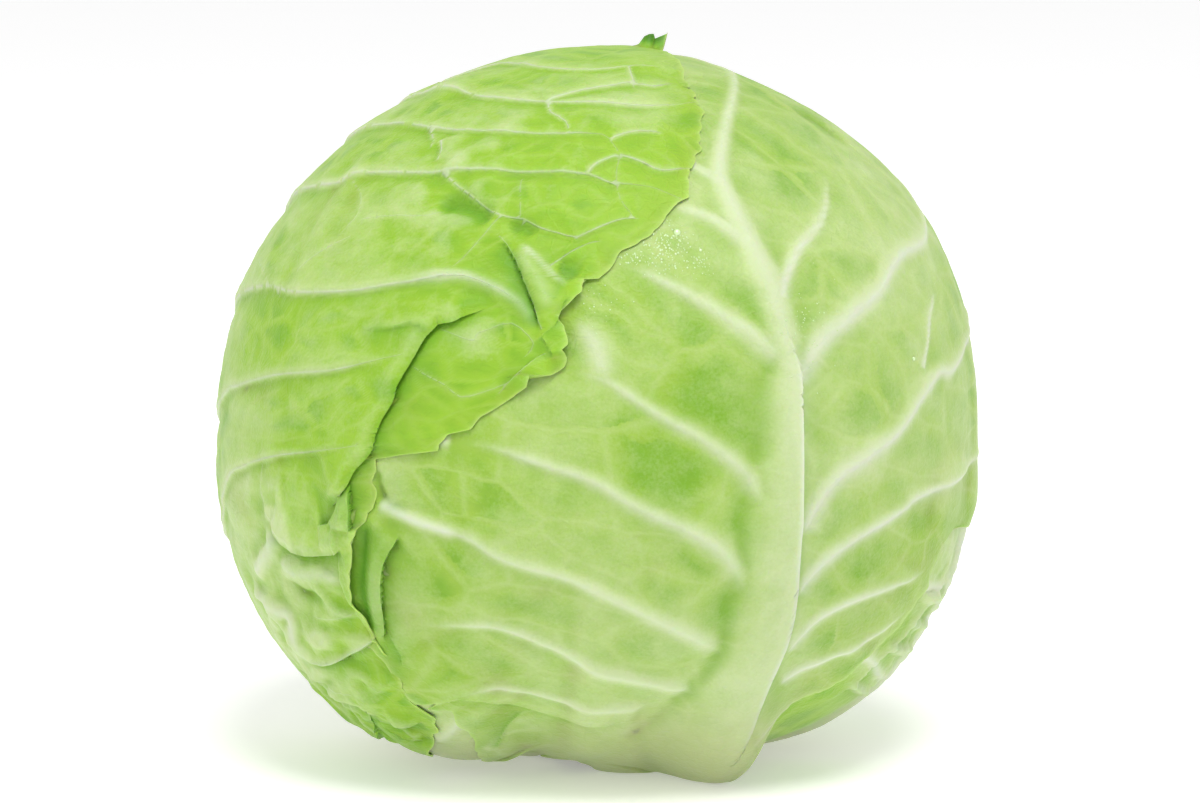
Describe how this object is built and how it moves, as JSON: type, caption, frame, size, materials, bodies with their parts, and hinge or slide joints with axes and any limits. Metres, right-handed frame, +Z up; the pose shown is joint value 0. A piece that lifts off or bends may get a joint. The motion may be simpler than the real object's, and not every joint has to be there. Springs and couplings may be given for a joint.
{
  "type": "cabbage head",
  "caption": "Round green cabbage head with loosely wrapped, veined outer leaves and a short cut stem, resting on its flat foot.",
  "frame": {"origin": "centre of the stem's flat cut face", "axes": "+Z up from the cut face to the crown; +Y from the front to the back, so that the two cover leaves' crossing margins and the front leaf's midrib face -Y; +X to the right as seen from the front"},
  "size_m": [0.1915, 0.1855, 0.1785],
  "materials": {
    "cover_leaf": null,
    "under_leaf": null,
    "inner_head": "pale yellow-green packed inner leaves",
    "stem": "cut stump, cream with a browned, dried face"
  },
  "bodies": {
    "root": {"stem": "stem", "inner_head": "inner_head", "left_inner_leaf": "under_leaf", "back_right_inner_leaf": "under_leaf", "front_inner_leaf": "under_leaf", "back_left_under_leaf": "under_leaf", "right_under_leaf": "under_leaf", "front_left_under_leaf": "under_leaf", "back_cover_leaf": "under_leaf", "front_cover_leaf": "cover_leaf", "left_cover_leaf": "cover_leaf"}
  },
  "joints": []
}
